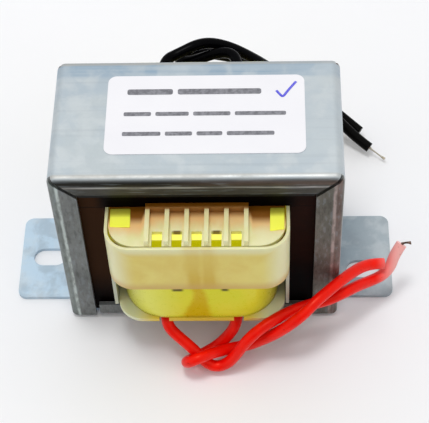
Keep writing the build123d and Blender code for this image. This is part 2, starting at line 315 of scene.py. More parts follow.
# Galvanised sheet. Spans are in millimetres, and shares are how far a colour goes over the one below it
frameLook = {
    "metal": 0.75,
    "smooth": 0.46,
    "rough": 0.60,
    "blue": paint(182, 194, 202),
    "green": paint(190, 198, 201),
    "pale": paint(206, 212, 214),
    "shade": paint(150, 160, 168),
    "stain": paint(112, 124, 134),
    "scuffAndShade": paint(184, 181, 174),
    "rear": paint(149, 171, 189),
    "grime": paint(40, 38, 33),
    "edgeShade": paint(12, 10, 8),
    "leftFoot": paint(190, 214, 232),
    "shadedRightFoot": paint(135, 150, 160),
    "leftLipShade": paint(123, 126, 125),
    "rightLipShade": paint(112, 110, 102),
    "upperLipShade": paint(73, 72, 67),
    "leftFoldShade": paint(130, 137, 134),
    "rightFoldShade": paint(123, 105, 98),
    "upperFoldShade": paint(30, 29, 24),
    "rustAndShadeFold": paint(94, 80, 72),
    "leftRubGlint": paint(190, 199, 196),
    "rightRubGlint": paint(174, 158, 154),
    "upperRubGlint": paint(174, 173, 170),
    "bloomShare": 0.55,
    "spangleShare": 0.16,
    "streakShare": 0.20,
    "litShare": 0.30,
    "litRightSpan": (4.0, 28.0),
    "sideSpan": (-1.0, 1.0),
    "footSpan": (1.5, 4.0),
    "footShare": 0.75,
    "footStain": 0.36,
    "footBloom": 0.35,
    "footLitSpan": (31.0, 42.0),
    "rearSpan": (11.2, 15.2),
    "bendSpan": (14.4, 15.3),
    "topAt": 50.5,
    "wallAt": 29.7,
    "mitreSpan": (-0.1, 0.1),
    "lipSpan": (14.6, 15.4),
    "lipLater": 0.5,
    "rightSpan": (-10.0, 12.0),
    "tighter": 1.28,
    "foldSpan": (0.5, 2.0),
    "smearShare": 0.25,
    "darkScratch": 0.28,
    "paleScratch": 0.26,
    "upperGlintFrom": 2.35,
    "sideGlintFrom": 1.95,
    "glintTo": 2.75,
    "edgeSpan": (4.6, 5.1),
}
strapLook = {**frameLook, "blue": paint(120, 126, 128), "green": paint(112, 116, 112),
             "pale": paint(150, 156, 156), "shade": paint(84, 88, 86)}


def zincFinish(name, look):
    material, tree, shader = newMaterial(name, {"Metallic": look["metal"]})
    place = objectPlace(tree)
    x, y, z = axesOf(tree, place)
    across, out = unsigned(tree, x), unsigned(tree, y)
    cloud = cloudy(tree, place, 75.0, soft=0.14)
    bloom = cloudy(tree, place, 210.0, level=0.55, soft=0.10)
    stain = cloudy(tree, place, 190.0, soft=0.12)
    crystals = put(tree, "TexVoronoi", {"Vector": place, "Scale": 330.0, "Randomness": 1.0})
    spangle = put(tree, "SeparateColor", {0: crystals.outputs["Color"]}).outputs[0]
    streak = streaks(tree, place, (25.0, 900.0, 900.0))
    fine = grainy(tree, place, 1500.0)

    colour = tint(tree, cloud, look["blue"], look["green"])
    colour = tint(tree, times(tree, bloom, look["bloomShare"]), colour, look["pale"])
    colour = tint(tree, times(tree, spangle, look["spangleShare"]), colour, look["pale"])
    colour = tint(tree, ramp(tree, streak, 0.52, 0.75, 0.0, look["streakShare"]), colour, look["shade"])
    # Painted light: the top is paler towards the right
    colour = tint(tree, fade(tree, x, look["litRightSpan"], 0.0, look["litShare"]), colour, look["pale"])
    # The left foot is bluer than the top, and the right one darker as painted shade beside the frame wall,
    # paler further out as painted light
    foot = fade(tree, z, look["footSpan"], look["footShare"], 0.0)
    stained = ramp(tree, stain, 0.0, 1.0, 0.0, look["footStain"])
    litAwayFromWall = fade(tree, x, look["footLitSpan"], 0.0, look["litShare"])
    footColour = tint(tree, fade(tree, x, look["sideSpan"]), look["leftFoot"], look["shadedRightFoot"])
    footColour = tint(tree, stained, footColour, look["stain"])
    footColour = tint(tree, times(tree, bloom, look["footBloom"]), footColour, look["pale"])
    footColour = tint(tree, litAwayFromWall, footColour, look["pale"])
    colour = tint(tree, foot, colour, footColour)
    # The rear of the top is bluer
    rear = within(tree, y, look["rearSpan"], soft=0.8)
    rear = times(tree, rear, ramp(tree, streak, 0.35, 0.65, 0.55, 0.95))
    rear = times(tree, rear, ramp(tree, stain, 0.0, 1.0, 0.50, 1.0))
    colour = tint(tree, rear, colour, look["rear"])
    # The bend in front of the lip is scuffed in streaks, and greyed there as painted shade over its
    # highlight
    bendScuffAndShade = within(tree, out, look["bendSpan"], soft=0.3)
    bendScuffAndShade = times(tree, bendScuffAndShade, ramp(tree, streak, 0.30, 0.62, 0.30, 0.70))
    colour = tint(tree, bendScuffAndShade, colour, look["scuffAndShade"])
    # The lips are painted darker than the top as painted shade, and a little dulled by the varnish that the
    # core was dipped in; darkest in the fold, a painted dark reflection
    fromTop = minus(tree, look["topAt"] * mm, z)
    fromSide = minus(tree, look["wallAt"] * mm, across)
    upper = fade(tree, minus(tree, fromSide, fromTop), look["mitreSpan"])
    bent = minus(tree, out, times(tree, upper, look["lipLater"] * mm))
    inward = swing(tree, upper, times(tree, fromSide, look["tighter"]), fromTop)
    rightward = fade(tree, x, look["rightSpan"])
    smear = cloudy(tree, place, 130.0, level=0.52, soft=0.16)
    scored = streaks(tree, place, (130.0, 1500.0, 1500.0), detail=5.0)
    drawn = streaks(tree, place, (1300.0, 1300.0, 420.0), detail=5.0)
    scratch = swing(tree, upper, drawn, scored)
    flatShade = tint(tree, upper, tint(tree, rightward, look["leftLipShade"], look["rightLipShade"]), look["upperLipShade"])
    sideFoldShade = tint(tree, rightward, look["leftFoldShade"], look["rightFoldShade"])
    foldShade = tint(tree, upper, sideFoldShade, tint(tree, rightward, look["upperFoldShade"], look["rustAndShadeFold"]))
    lipShadeAndWear = tint(tree, within(tree, inward, look["foldSpan"], soft=0.35), flatShade, foldShade)
    smeared = ramp(tree, smear, 0.0, 1.0, 0.0, look["smearShare"])
    lipShadeAndWear = tint(tree, smeared, lipShadeAndWear, look["grime"])
    darker = ramp(tree, scratch, 0.47, 0.34, 0.0, look["darkScratch"])
    lipShadeAndWear = tint(tree, darker, lipShadeAndWear, look["grime"])
    lighter = ramp(tree, scratch, 0.53, 0.66, 0.0, look["paleScratch"])
    lipShadeAndWear = tint(tree, lighter, lipShadeAndWear, look["shade"])
    # Bright metal worn in a broken line where the fold ends, made brighter as a painted highlight
    glintFrom = ramp(tree, upper, 0.0, 1.0, look["sideGlintFrom"] * mm, look["upperGlintFrom"] * mm)
    rubAndGlint = use(tree, band, Value=inward, Low=glintFrom, High=look["glintTo"] * mm, Soft=0.28 * mm)
    rubAndGlint = times(tree, rubAndGlint, ramp(tree, scratch, 0.40, 0.58, 0.45, 1.0))
    rubbedGlint = tint(tree, rightward, look["leftRubGlint"], look["rightRubGlint"])
    lipShadeAndWear = tint(tree, rubAndGlint, lipShadeAndWear, tint(tree, upper, rubbedGlint, look["upperRubGlint"]))
    # The lower edge of the upper lip is painted black as painted shade, standing in for the dark gap below
    # it
    edge = times(tree, upper, fade(tree, fromTop, look["edgeSpan"]))
    lipShadeAndWear = tint(tree, edge, lipShadeAndWear, look["edgeShade"])
    colour = tint(tree, fade(tree, bent, look["lipSpan"]), colour, lipShadeAndWear)
    rough = plus(tree, ramp(tree, cloud, 0.0, 1.0, look["smooth"], look["rough"]),
                 ramp(tree, fine, 0.3, 0.7, -0.05, 0.05))
    feed(tree, shader, {"Base Color": colour, "Roughness": rough})
    bump(tree, shader, plus(tree, fine, times(tree, streak, 0.6)), strength=0.12, depth=0.05)
    return material


# Core: thin sheets under dark varnish, with a joint between the E and the I sheets
coreLook = {
    "brown": paint(66, 24, 9),
    "dark": paint(40, 14, 6),
    "worn": paint(80, 48, 30),
    "leftBrown": paint(97, 54, 8),
    "black": paint(14, 10, 8),
    "coreBlack": paint(3, 2, 3),
    "sheet": 0.5,
    "wornShare": 0.5,
    "leftBrownSpan": (-19.0, -17.0),
    "leftBrownShare": 0.85,
    "seamShare": 0.7,
    "sideSpan": (-1.0, 1.0),
    "blackSpan": (6.0, 19.0),
    "blackRise": 6.0,
    "blackShare": 0.95,
    "topBlackSpan": (38.6, 40.4),
    "limbSpan": (18.5, 21.5),
    "jointSpan": (39.68, 39.92),
    "jointShare": 0.8,
}


def coreFinish(look):
    material, tree, shader = newMaterial("coreVarnish", {"Roughness": 0.5, "Specular IOR Level": 0.03})
    place = objectPlace(tree)
    x, y, z = axesOf(tree, place)
    cloud = cloudy(tree, place, 120.0)
    fine = grainy(tree, place, 900.0)
    sheets = sums(tree, "FRACT", times(tree, y, 1.0 / (look["sheet"] * mm)))
    seam = ramp(tree, unsigned(tree, minus(tree, sheets, 0.5)), 0.36, 0.48)
    colour = tint(tree, cloud, look["brown"], look["dark"])
    colour = tint(tree, ramp(tree, fine, 0.55, 0.75, 0.0, look["wornShare"]), colour, look["worn"])
    # Browner to the left, and black towards the bottom, higher up to the right
    colour = tint(tree, fade(tree, x, look["leftBrownSpan"], look["leftBrownShare"], 0.0), colour, look["leftBrown"])
    colour = tint(tree, times(tree, seam, look["seamShare"]), colour, look["black"])
    rise = fade(tree, x, look["sideSpan"], 0.0, look["blackRise"] * mm)
    low = fade(tree, minus(tree, z, rise), look["blackSpan"], look["blackShare"], 0.0)
    colour = tint(tree, low, colour, look["coreBlack"])
    # Black above the joint too, between the limbs
    above = fade(tree, z, look["topBlackSpan"])
    between = fade(tree, unsigned(tree, x), look["limbSpan"], look["blackShare"], 0.0)
    colour = tint(tree, times(tree, above, between), colour, look["coreBlack"])
    joint = within(tree, z, look["jointSpan"], soft=0.06)
    colour = tint(tree, times(tree, joint, look["jointShare"]), colour, look["black"])
    feed(tree, shader, {"Base Color": colour})
    height = minus(tree, times(tree, fine, 0.4), plus(tree, seam, joint))
    bump(tree, shader, height, strength=0.35, depth=0.05)
    return material


# Bobbin: cream nylon that varnish has soaked into near the core
bobbinLook = {
    "cream": paint(231, 228, 166),
    "pale": paint(240, 236, 188),
    "amber": paint(241, 197, 132),
    "brown": paint(137, 82, 3),
    "cloudy": paint(220, 223, 188),
    "yellow": paint(226, 194, 14),
    "smudge": paint(84, 32, 6),
    "amberSpan": (16.6, 21.0),
    "brownSpan": (15.2, 17.6),
    "waver": 0.7,
    "combSpan": (10.6, 11.4),
    "beside": 1.6,
    "ribRise": (39.9, 40.9),
    "ribOut": (15.9, 16.5),
    "ribStain": 0.2,
    "footSpan": (12.4, 13.2),
    "footShare": 0.9,
    "middleSpan": (9.5, 15.0),
    "smudgeAcross": (3.2, 4.8),
    "smudgeOut": (20.4, 20.9),
    "smudgeRise": (38.0, 38.6),
    "smudgeShare": 0.85,
}


def bobbinFinish(look):
    material, tree, shader = newMaterial("bobbinNylon", {
        "Subsurface Weight": 0.22, "Subsurface Radius": (1.0, 0.75, 0.4), "Subsurface Scale": 0.9 * mm})
    place = objectPlace(tree)
    x, y, z = axesOf(tree, place)
    across, out = unsigned(tree, x), unsigned(tree, y)
    # The stain reaches further out beside the comb than between its ribs
    depth = minus(tree, out, fade(tree, across, look["combSpan"], 0.0, look["beside"] * mm))
    bent = plus(tree, depth, sway(tree, ripples(tree, place, 160.0), look["waver"]))
    amber = fade(tree, bent, look["amberSpan"], 1.0, 0.0)
    brown = fade(tree, depth, look["brownSpan"], 1.0, 0.0)
    # The ribs stand clear of it
    ribs = times(tree, fade(tree, z, look["ribRise"]), fade(tree, depth, look["ribOut"]))
    clear = ramp(tree, ribs, 0.0, 1.0, 1.0, look["ribStain"])
    colour = tint(tree, cloudy(tree, place, 240.0), look["cream"], look["pale"])
    colour = tint(tree, times(tree, amber, clear), colour, look["amber"])
    colour = tint(tree, times(tree, brown, clear), colour, look["brown"])
    # The lowest flange is greyer, and yellow shows through it in the middle
    foot = fade(tree, z, look["footSpan"], look["footShare"], 0.0)
    middle = fade(tree, across, look["middleSpan"], 1.0, 0.0)
    colour = tint(tree, foot, colour, tint(tree, middle, look["cloudy"], look["yellow"]))
    # Dark smudges behind the second and the fourth notch
    smudge = fade(tree, z, look["smudgeRise"], 0.0, look["smudgeShare"])
    smudge = times(tree, smudge, within(tree, across, look["smudgeAcross"], soft=0.35))
    smudge = times(tree, smudge, within(tree, out, look["smudgeOut"], soft=0.15))
    colour = tint(tree, smudge, colour, look["smudge"])
    fine = grainy(tree, place, 700.0)
    feed(tree, shader, {"Base Color": colour, "Roughness": ramp(tree, fine, 0.3, 0.7, 0.34, 0.50)})
    bump(tree, shader, fine, strength=0.10, depth=0.06)
    return material


# Shrouds: thin cream nylon
shroudLook = {
    "cream": paint(232, 217, 118),
    "warm": paint(224, 201, 96),
    "white": paint(233, 233, 192),
    "amber": paint(207, 170, 12),
    "pink": paint(204, 166, 92),
    "cloudy": paint(190, 194, 176),
    "rimSpan": (36.6, 39.4),
    "cornerSpan": (12.5, 17.6),
    "whiteShare": 0.8,
    "runSpan": (-2.6, 4.2),
    "runWaver": 0.8,
    "gapSpan": (0.4, 1.2),
    "gapShare": 0.5,
    "runRise": (26.0, 38.6),
    "runThin": 0.35,
    "runShare": 0.85,
    "pinkSpan": (25.2, 28.4),
    "pinkShare": 0.75,
    "wallSpan": (24.6, 25.2),
}


def shroudFinish(look):
    material, tree, shader = newMaterial("shroudNylon", {
        "Subsurface Weight": 0.28, "Subsurface Radius": (1.0, 0.8, 0.45), "Subsurface Scale": 1.0 * mm})
    place = objectPlace(tree)
    axes = axesOf(tree, place)
    x, z = axes["X"], axes["Z"]
    colour = tint(tree, cloudy(tree, place, 140.0, soft=0.22), look["cream"], look["warm"])
    # Yellow tape shows through the wall, less at the rim and the corners
    rim = fade(tree, z, look["rimSpan"])
    white = sums(tree, "MAXIMUM", rim, fade(tree, unsigned(tree, x), look["cornerSpan"]))
    colour = tint(tree, times(tree, white, look["whiteShare"]), colour, look["white"])
    # An amber run of varnish down the middle, in two streaks
    shifted = plus(tree, x, sway(tree, streaks(tree, place, (120.0, 120.0, 45.0)), look["runWaver"]))
    gap = times(tree, within(tree, shifted, look["gapSpan"], soft=0.7), look["gapShare"])
    run = minus(tree, within(tree, shifted, look["runSpan"], soft=1.1), gap)
    run = times(tree, run, fade(tree, z, look["runRise"], 1.0, look["runThin"]))
    colour = tint(tree, times(tree, run, look["runShare"]), colour, look["amber"])
    # The bottom edge is a little pink, and the side walls below it are cloudy
    colour = tint(tree, fade(tree, z, look["pinkSpan"], look["pinkShare"], 0.0), colour, look["pink"])
    colour = tint(tree, fade(tree, z, look["wallSpan"], 1.0, 0.0), colour, look["cloudy"])
    fine = grainy(tree, place, 520.0)
    feed(tree, shader, {"Base Color": colour, "Roughness": ramp(tree, fine, 0.3, 0.7, 0.30, 0.44)})
    bump(tree, shader, fine, strength=0.08, depth=0.06)
    return material


# Yellow tape: a plain winding tape with a sheen. The inner tape and the strips glow as painted light,
# standing in for light through the pale shroud
coilTapeLook = {
    "yellow": paint(234, 226, 56),
    "lime": paint(226, 224, 46),
    "litLeft": paint(238, 238, 112),
    "amber": paint(212, 176, 0),
    "shadeOlive": paint(150, 142, 40),
    "brown": paint(52, 34, 18),
    "litCrest": paint(255, 250, 116),
    "glint": paint(255, 248, 150),
    "gloss": 0.30,
    "paintedGlow": 0.0,
    "litLeftSpan": (-12.0, -3.0),
    "litLeftShare": 0.8,
    "runAt": -0.6,
    "runWaver": 1.0,
    "runSpan": (0.8, 2.6),
    "runShare": 0.85,
    "spreadSpan": (13.0, 23.0),
    "spreadLow": -1.6,
    "spreadHigh": 0.4,
    "sideSpan": (11.0, 16.4),
    "sideShadeShare": 0.6,
    "innerShadeSpan": (15.8, 17.4),
    "innerShadeShare": 0.0,
    "shadeSpotRise": (22.75, 24.6),
    "leftShadeSpot": (-5.7, -3.5),
    "rightShadeSpot": (4.6, 6.0),
    "shadeSpotShare": 0.9,
    "litCrestSpan": (38.2, 38.45),
    "litCrestShare": 0.0,
}
innerTapeLook = {**coilTapeLook, "yellow": paint(224, 224, 22), "lime": paint(216, 218, 16),
                 "litLeftShare": 0.0, "runShare": 0.0, "sideShadeShare": 0.0, "shadeSpotShare": 0.0,
                 "litCrestShare": 1.0, "paintedGlow": 0.33}
stripLook = {**innerTapeLook, "yellow": paint(252, 253, 96), "lime": paint(247, 250, 78), "gloss": 0.42,
             "innerShadeShare": 0.8, "litCrestShare": 0.0, "paintedGlow": 0.10}


def tapeFinish(name, look):
    material, tree, shader = newMaterial(name, {
        "Specular IOR Level": 0.3, "Specular Tint": look["glint"], "Emission Strength": look["paintedGlow"]})
    place = objectPlace(tree)
    x, y, z = axesOf(tree, place)
    colour = tint(tree, cloudy(tree, place, 150.0), look["yellow"], look["lime"])
    # Painted light: paler to the left, the side the light comes from
    colour = tint(tree, fade(tree, x, look["litLeftSpan"], look["litLeftShare"], 0.0), colour, look["litLeft"])
    # Varnish has run down the middle and spread at the bottom
    shifted = plus(tree, x, sway(tree, ripples(tree, place, 110.0), look["runWaver"]))
    away = unsigned(tree, minus(tree, shifted, look["runAt"] * mm))
    spread = fade(tree, z, look["spreadSpan"], look["spreadLow"] * mm, look["spreadHigh"] * mm)
    run = fade(tree, plus(tree, away, spread), look["runSpan"], look["runShare"], 0.0)
    colour = tint(tree, run, colour, look["amber"])
    # Painted shade: darker at the sides and towards the core
    side = fade(tree, unsigned(tree, x), look["sideSpan"], 0.0, look["sideShadeShare"])
    colour = tint(tree, side, colour, look["shadeOlive"])
    innerShade = fade(tree, unsigned(tree, y), look["innerShadeSpan"], look["innerShadeShare"], 0.0)
    colour = tint(tree, innerShade, colour, look["shadeOlive"])
    # Two dark spots under the edge of the shroud: painted shade in the gaps there
    leftShadeSpot = within(tree, x, look["leftShadeSpot"], soft=0.5)
    rightShadeSpot = within(tree, x, look["rightShadeSpot"], soft=0.5)
    shadeSpots = times(tree, within(tree, z, look["shadeSpotRise"], soft=0.2), plus(tree, leftShadeSpot, rightShadeSpot))
    colour = tint(tree, times(tree, shadeSpots, look["shadeSpotShare"]), colour, look["brown"])
    # Painted highlight: the upper edge of a wound tape is paler than its face
    litCrest = fade(tree, z, look["litCrestSpan"], 0.0, look["litCrestShare"])
    colour = tint(tree, litCrest, colour, look["litCrest"])
    fine = grainy(tree, place, 800.0)
    rough = ramp(tree, fine, 0.3, 0.7, look["gloss"] - 0.06, look["gloss"] + 0.08)
    feed(tree, shader, {"Base Color": colour, "Emission Color": colour, "Roughness": rough})
    wrinkle = streaks(tree, place, (60.0, 60.0, 900.0))
    bump(tree, shader, plus(tree, wrinkle, times(tree, fine, 0.3)), strength=0.18, depth=0.10)
    return material


def copperFinish(dark, light):
    material, tree, shader = newMaterial("enamelledCopper", {"Metallic": 0.85, "Roughness": 0.35})
    waves = {"Vector": objectPlace(tree), "Scale": 420.0, "Distortion": 0.2, "Detail": 1.0}
    turns = put(tree, "TexWave", waves, bands_direction="Z").outputs["Fac"]
    feed(tree, shader, {"Base Color": tint(tree, turns, dark, light)})
    bump(tree, shader, turns, strength=0.5, depth=0.15)
    return material


# Soft insulation of the leads, paler towards their ends as painted light
redLook = {
    "colour": paint(252, 16, 4),
    "deep": paint(236, 6, 2),
    "litEnd": paint(252, 196, 190),
    "dirt": paint(120, 10, 6),
    "dirtShare": 0.6,
    "litEndSpan": (37.5, 43.5),
    "litEndShare": 0.85,
    "glint": paint(255, 150, 118),
    "gloss": 0.34,
    "shine": 0.70,
}
blackLook = {
    "colour": paint(3, 3, 5),
    "deep": paint(2, 2, 3),
    "litEnd": paint(16, 15, 13),
    "dirt": paint(24, 24, 27),
    "dirtShare": 0.6,
    "litEndSpan": (28.0, 40.0),
    "litEndShare": 0.8,
    "glint": paint(255, 255, 255),
    "gloss": 0.22,
    "shine": 0.04,
}


def insulationFinish(name, look):
    constants = {"Specular IOR Level": look["shine"], "Specular Tint": look["glint"]}
    material, tree, shader = newMaterial(name, constants)
    place = objectPlace(tree)
    x = axesOf(tree, place)["X"]
    specks = cloudy(tree, place, 900.0, level=0.70, soft=0.05)
    colour = tint(tree, cloudy(tree, place, 260.0), look["colour"], look["deep"])
    colour = tint(tree, fade(tree, x, look["litEndSpan"], 0.0, look["litEndShare"]), colour, look["litEnd"])
    colour = tint(tree, times(tree, specks, look["dirtShare"]), colour, look["dirt"])
    fine = grainy(tree, place, 1200.0)
    rough = ramp(tree, fine, 0.3, 0.7, look["gloss"] - 0.07, look["gloss"] + 0.10)
    feed(tree, shader, {"Base Color": colour, "Roughness": rough})
    bump(tree, shader, fine, strength=0.12, depth=0.05)
    return material


# Bare wire, paper and ink: two close colours in patches
def wireFinish(name, light, dark):
    material, tree, shader = newMaterial(name, {"Metallic": 0.9, "Roughness": 0.38})
    cloud = cloudy(tree, objectPlace(tree), 900.0)
    feed(tree, shader, {"Base Color": tint(tree, cloud, light, dark)})
    return material


def paperFinish(name, white, grey):
    material, tree, shader = newMaterial(name, {"Roughness": 0.45})
    place = objectPlace(tree)
    cloud = cloudy(tree, place, 60.0, soft=0.25)
    feed(tree, shader, {"Base Color": tint(tree, cloud, white, grey)})
    bump(tree, shader, grainy(tree, place, 1800.0), strength=0.06, depth=0.03)
    return material


def inkFinish(name, colour, faded):
    material, tree, shader = newMaterial(name, {"Roughness": 0.5})
    worn = cloudy(tree, objectPlace(tree), 1100.0)
    feed(tree, shader, {"Base Color": tint(tree, worn, colour, faded)})
    return material


zincSheet = zincFinish("zincSheet", frameLook)
zincStrap = zincFinish("zincStrap", strapLook)
coreVarnish = coreFinish(coreLook)
bobbinNylon = bobbinFinish(bobbinLook)
shroudNylon = shroudFinish(shroudLook)
coilTape = tapeFinish("coilTape", coilTapeLook)
innerTape = tapeFinish("innerTape", innerTapeLook)
stripTape = tapeFinish("stripTape", stripLook)
enamelledCopper = copperFinish(paint(120, 62, 34), paint(196, 118, 74))
redInsulation = insulationFinish("redInsulation", redLook)
blackInsulation = insulationFinish("blackInsulation", blackLook)
tinnedWire = wireFinish("tinnedWire", paint(206, 200, 186), paint(150, 138, 116))
darkWire = wireFinish("darkWire", paint(120, 96, 84), paint(62, 50, 46))
labelPaper = paperFinish("labelPaper", paint(238, 237, 240), paint(234, 233, 237))
printInk = inkFinish("printInk", paint(104, 104, 110), paint(140, 140, 146))
penInk = inkFinish("penInk", paint(78, 76, 214), paint(112, 112, 226))

nodeFinish = {
    "mounting_frame": zincSheet,
    "base_strap": zincStrap,
    "e_packs_legs_up": coreVarnish,
    "e_packs_legs_down": coreVarnish,
    "i_packs_top": coreVarnish,
    "i_packs_bottom": coreVarnish,
    "bobbin": bobbinNylon,
    "front_shroud": shroudNylon,
    "rear_shroud": shroudNylon,
    "primary_winding": enamelledCopper,
    "primary_tape": coilTape,
    "secondary_winding": enamelledCopper,
    "secondary_tape": innerTape,
    "tape_strip_left": stripTape,
    "tape_strip_right": stripTape,
    "rating_label": labelPaper,
    "red_lead_left": redInsulation,
    "red_lead_right": redInsulation,
    "black_lead_left": blackInsulation,
    "black_lead_right": blackInsulation,
    "red_strand": darkWire,
    "black_strand": tinnedWire,
}
for name, material in nodeFinish.items():
    nodes[name].data.materials.clear()
    nodes[name].data.materials.append(material)
print("finishes on", len(nodeFinish), "nodes")


# Tape round the lower winding: it swells a little between the flanges, and its end is lapped at the rear
coilWrap = {
    "node": "primary_tape",
    "corner": 8.95,
    "arcSteps": 14,
    "straightSteps": 16,
    "levels": 12,
    "swell": 0.16,
    "steady": 0.8,
    "uneven": 0.4,
    "ripple": (0.22, 0.22, 0.12),
    "lap": 0.07,
    "lapFrom": -6.0,
    "lapTo": -1.0,
    "thick": 0.25,
}


def wrapTape(look):
    low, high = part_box(look["node"])
    size = high - low
    middle = Vector(((low.x + high.x) / 2, (low.y + high.y) / 2, low.z))
    bm = bmesh.new()
    # The rim of a plate with rounded corners, drawn up into a wall
    plate = Matrix.Translation(middle) @ Matrix.Diagonal((size.x, size.y, 1.0, 1.0))
    bmesh.ops.create_grid(bm, x_segments=1, y_segments=1, size=0.5, matrix=plate)
    bmesh.ops.bevel(bm, geom=bm.verts[:], offset=look["corner"] * mm, segments=look["arcSteps"], profile=0.5,
                    affect="VERTICES", material=-1)
    bmesh.ops.delete(bm, geom=bm.faces[:], context="FACES_ONLY")
    straight = [edge for edge in bm.edges if edge.calc_length() > look["corner"] * mm]
    bmesh.ops.subdivide_edges(bm, edges=straight, cuts=look["straightSteps"] - 1)
    raised = bmesh.ops.extrude_edge_only(bm, edges=bm.edges[:])["geom"]
    upper = [part for part in raised if isinstance(part, bmesh.types.BMVert)]
    bmesh.ops.translate(bm, vec=(0.0, 0.0, size.z), verts=upper)
    upright = [edge for edge in bm.edges if edge.verts[0].co.z != edge.verts[1].co.z]
    bmesh.ops.subdivide_edges(bm, edges=upright, cuts=look["levels"] - 1, use_grid_fill=True)
    bmesh.ops.recalc_face_normals(bm, faces=bm.faces[:])
    bm.normal_update()
    for vert in bm.verts:
        place = vert.co / mm
        share = (vert.co.z - low.z) / size.z
        ripple = noise.noise(place * Vector(look["ripple"]))
        swell = look["swell"] * (1.0 - (2.0 * share - 1.0) ** 4) * (look["steady"] + look["uneven"] * ripple)
        lapped = place.y > 0.0 and look["lapFrom"] < place.x < look["lapTo"]
        vert.co += vert.normal * (swell if lapped else swell - look["lap"]) * mm
    for face in bm.faces:
        face.smooth = True
    bmesh.ops.solidify(bm, geom=bm.faces[:], thickness=look["thick"] * mm)
    piece = makeObject("coilWrap", bm)
    piece.data.materials.append(coilTape)
    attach(piece, "root")
    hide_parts(look["node"])


# Two ends of tape on the upper flange, cut a little askew and not quite flat
tapeEnds = {
    "leftTapeEnd": {"node": "tape_strip_left", "skew": (0.10, -0.25), "seed": 3.0},
    "rightTapeEnd": {"node": "tape_strip_right", "skew": (-0.12, 0.35), "seed": 11.0},
}
tapeSheet = {
    "across": 14,
    "along": 18,
    "thick": 0.07,
    "cornerShare": 0.05833,
    "inset": 0.94,
    "ripple": (1.6, 1.9),
    "steady": 0.6,
    "wave": 0.05,
    "curl": 0.14,
    "curlFrom": 0.72,
}


def layTapeEnd(name, strip, look):
    low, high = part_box(strip["node"])
    size = high - low
    middle = (low + high) / 2
    bm = bmesh.new()
    bmesh.ops.create_grid(bm, x_segments=look["across"], y_segments=look["along"], size=0.5)
    corners = [vert for vert in bm.verts if len(vert.link_edges) == 2]
    bmesh.ops.bevel(bm, geom=corners, offset=look["cornerShare"], segments=3, profile=0.5,
                    affect="VERTICES", material=-1)
    waveX, waveY = look["ripple"]
    for vert in bm.verts:
        across, along = vert.co.x, vert.co.y
        front = 0.5 - along
        ripple = look["steady"] + noise.noise(Vector((across * waveX, along * waveY, strip["seed"])))
        curled = max(front - look["curlFrom"], 0.0) / (1.0 - look["curlFrom"])
        lift = (look["wave"] + look["curl"] * curled) * ripple
        skewX = strip["skew"][0] * front * mm
        skewY = strip["skew"][1] * across * front * mm
        vert.co = (middle.x + across * size.x * look["inset"] + skewX,
                   middle.y + along * size.y * look["inset"] + skewY,
                   low.z + (look["thick"] + max(lift, 0.0)) * mm)
    for face in bm.faces:
        face.smooth = True
    bmesh.ops.solidify(bm, geom=bm.faces[:], thickness=look["thick"] * mm)
    piece = makeObject(name, bm)
    piece.data.materials.append(stripTape)
    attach(piece, "root")
    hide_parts(strip["node"])


wrapTape(coilWrap)
for name, strip in tapeEnds.items():
    layTapeEnd(name, strip, tapeSheet)
print("tape laid")


